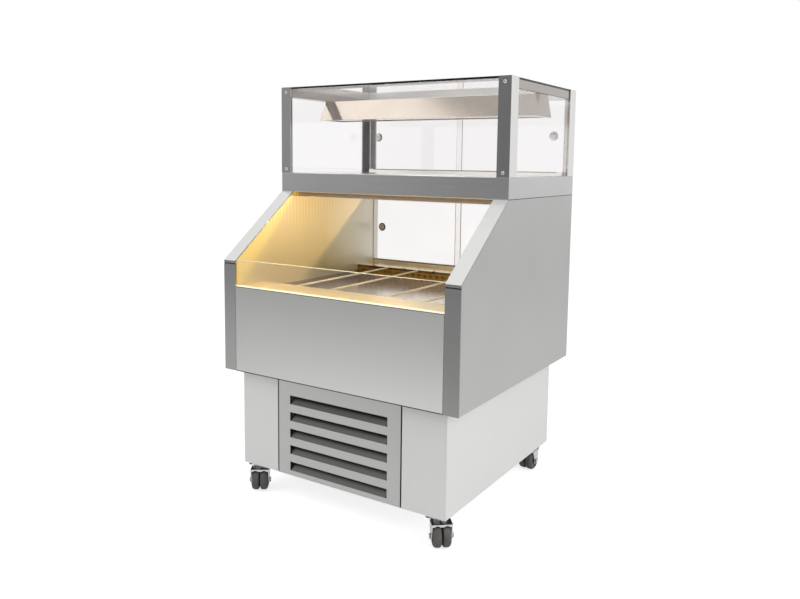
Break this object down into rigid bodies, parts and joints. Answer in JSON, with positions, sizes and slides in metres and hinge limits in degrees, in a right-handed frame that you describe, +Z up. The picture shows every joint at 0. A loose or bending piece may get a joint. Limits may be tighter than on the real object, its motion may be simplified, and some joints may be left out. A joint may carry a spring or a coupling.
{
  "type": "heated display case",
  "caption": "Free-standing heated food display case: open-front warm well with sliding rear doors under a glass display box with a lamp trough, on a louvred plinth with swivel castors.",
  "frame": {"origin": "on the floor at the middle of the footprint", "axes": "+X to the customer's right, +Y to the operator's side at the rear, +Z up"},
  "size_m": [0.8, 0.75, 1.232],
  "materials": {
    "stainless": "fine brushed, satin",
    "trim_steel": "brushed along its length, semi-bright",
    "plinth_sheet": "smooth light grey, satin",
    "clear_glass": "clear float glass",
    "door_glass": "clear float glass",
    "pull_metal": "bright",
    "rod_steel": "smooth bright bar",
    "zinc_plate": "zinc plated",
    "wheel_tread": "dark grey, matt",
    "grey_plastic": "fine moulded grain",
    "black_plastic": "fine moulded grain",
    "hot_plate_steel": "smooth, satin",
    "element_sheath": "heat-darkened",
    "aluminium": "anodised",
    "motor_case": "satin",
    "lamp_body": "anodised",
    "polished_steel": "mirror polished",
    "quartz": "clear quartz with ceramic ends"
  },
  "bodies": {
    "cabinet": {"side_panel_left": "stainless", "side_panel_right": "stainless", "front_panel": "stainless", "front_sill": "stainless", "rear_ledge": "stainless", "deck": "stainless", "deck_soffit": "stainless", "rear_panel": "stainless", "side_liners": "stainless", "well_tub": "stainless", "body_floor": "stainless", "perforated_riser": "stainless", "edge_trim_left": "trim_steel", "edge_trim_right": "trim_steel", "corner_posts": "trim_steel", "side_rails": "trim_steel", "plinth_left": "plinth_sheet", "plinth_right": "plinth_sheet", "plinth_rear": "plinth_sheet", "louvre_panel": "plinth_sheet", "base_pan": "plinth_sheet", "front_glass": "clear_glass", "box_front_glass": "clear_glass", "box_side_glass": "clear_glass", "box_top_glass": "clear_glass", "lamp_cover": "clear_glass", "castor_plates": "zinc_plate", "cable_gland": "grey_plastic", "control_housing": "grey_plastic", "hot_plate": "hot_plate_steel", "heating_element": "element_sheath", "door_tracks": "aluminium", "blower_motor": "motor_case", "deck_lamps": "lamp_body", "lamp_trough": "polished_steel", "heat_lamps": "quartz"},
    "fork_front_left": {"castor_fork_front_left": "zinc_plate"},
    "fork_front_right": {"castor_fork_front_right": "zinc_plate"},
    "fork_rear_left": {"castor_fork_rear_left": "zinc_plate"},
    "fork_rear_right": {"castor_fork_rear_right": "zinc_plate"},
    "wheels_front_left": {"castor_wheels_front_left": "wheel_tread"},
    "wheels_front_right": {"castor_wheels_front_right": "wheel_tread"},
    "wheels_rear_left": {"castor_wheels_rear_left": "wheel_tread"},
    "wheels_rear_right": {"castor_wheels_rear_right": "wheel_tread"},
    "lower_door_left": {"lower_door_left": "door_glass", "lower_pull_left": "pull_metal"},
    "lower_door_right": {"lower_door_right": "door_glass", "lower_pull_right": "pull_metal"},
    "upper_door_left": {"upper_door_left": "door_glass", "upper_pull_left": "pull_metal"},
    "upper_door_right": {"upper_door_right": "door_glass", "upper_pull_right": "pull_metal"},
    "divider_rod_left_1": {"divider_rod_left_1": "rod_steel"},
    "divider_rod_right_1": {"divider_rod_right_1": "rod_steel"},
    "divider_rod_left_2": {"divider_rod_left_2": "rod_steel"},
    "divider_rod_right_2": {"divider_rod_right_2": "rod_steel"},
    "thermostat_knob": {"thermostat_knob": "black_plastic"},
    "rocker_switch": {"rocker_switch": "black_plastic"},
    "blower_wheel": {"blower_wheel": "aluminium"}
  },
  "joints": [
    {"name": "swivel_front_left", "type": "hinge", "parent": "cabinet", "child": "fork_front_left", "pos_m": [-0.316, -0.31, 0.066], "axis": [0, 0, 1], "continuous": true},
    {"name": "roll_front_left", "type": "hinge", "parent": "fork_front_left", "child": "wheels_front_left", "pos_m": [-0.30202, -0.33073, 0.03], "axis": [0.829, 0.5592, 0], "continuous": true},
    {"name": "swivel_front_right", "type": "hinge", "parent": "cabinet", "child": "fork_front_right", "pos_m": [0.316, -0.31, 0.066], "axis": [0, 0, 1], "continuous": true},
    {"name": "roll_front_right", "type": "hinge", "parent": "fork_front_right", "child": "wheels_front_right", "pos_m": [0.33207, -0.32915, 0.03], "axis": [0.766, 0.6428, 0], "continuous": true},
    {"name": "swivel_rear_left", "type": "hinge", "parent": "cabinet", "child": "fork_rear_left", "pos_m": [-0.316, 0.31, 0.066], "axis": [0, 0, 1], "continuous": true},
    {"name": "roll_rear_left", "type": "hinge", "parent": "fork_rear_left", "child": "wheels_rear_left", "pos_m": [-0.30828, 0.28622, 0.03], "axis": [0.9511, 0.309, 0], "continuous": true},
    {"name": "swivel_rear_right", "type": "hinge", "parent": "cabinet", "child": "fork_rear_right", "pos_m": [0.316, 0.31, 0.066], "axis": [0, 0, 1], "continuous": true},
    {"name": "roll_rear_right", "type": "hinge", "parent": "fork_rear_right", "child": "wheels_rear_right", "pos_m": [0.31426, 0.28506, 0.03], "axis": [0.9976, -0.0698, 0], "continuous": true},
    {"name": "lower_door_left_slide", "type": "slide", "parent": "cabinet", "child": "lower_door_left", "axis": [1, 0, 0], "range_m": [0, 0.33]},
    {"name": "lower_door_right_slide", "type": "slide", "parent": "cabinet", "child": "lower_door_right", "axis": [-1, 0, 0], "range_m": [0, 0.33]},
    {"name": "upper_door_left_slide", "type": "slide", "parent": "cabinet", "child": "upper_door_left", "axis": [1, 0, 0], "range_m": [0, 0.345]},
    {"name": "upper_door_right_slide", "type": "slide", "parent": "cabinet", "child": "upper_door_right", "axis": [-1, 0, 0], "range_m": [0, 0.345]},
    {"name": "divider_rod_left_1_lift", "type": "slide", "parent": "cabinet", "child": "divider_rod_left_1", "axis": [0, 0, 1], "range_m": [0, 0.08]},
    {"name": "divider_rod_right_1_lift", "type": "slide", "parent": "cabinet", "child": "divider_rod_right_1", "axis": [0, 0, 1], "range_m": [0, 0.08]},
    {"name": "divider_rod_left_2_lift", "type": "slide", "parent": "cabinet", "child": "divider_rod_left_2", "axis": [0, 0, 1], "range_m": [0, 0.08]},
    {"name": "divider_rod_right_2_lift", "type": "slide", "parent": "cabinet", "child": "divider_rod_right_2", "axis": [0, 0, 1], "range_m": [0, 0.08]},
    {"name": "thermostat_turn", "type": "hinge", "parent": "cabinet", "child": "thermostat_knob", "pos_m": [0.25, 0.36, 0.459], "axis": [0, -1, 0], "range_deg": [0, 270]},
    {"name": "rocker_tip", "type": "hinge", "parent": "cabinet", "child": "rocker_switch", "pos_m": [0.165, 0.3615, 0.459], "axis": [-1, 0, 0], "range_deg": [0, 16]},
    {"name": "blower_spin", "type": "hinge", "parent": "cabinet", "child": "blower_wheel", "pos_m": [0, 0.2925, 0.5785], "axis": [1, 0, 0], "continuous": true}
  ]
}
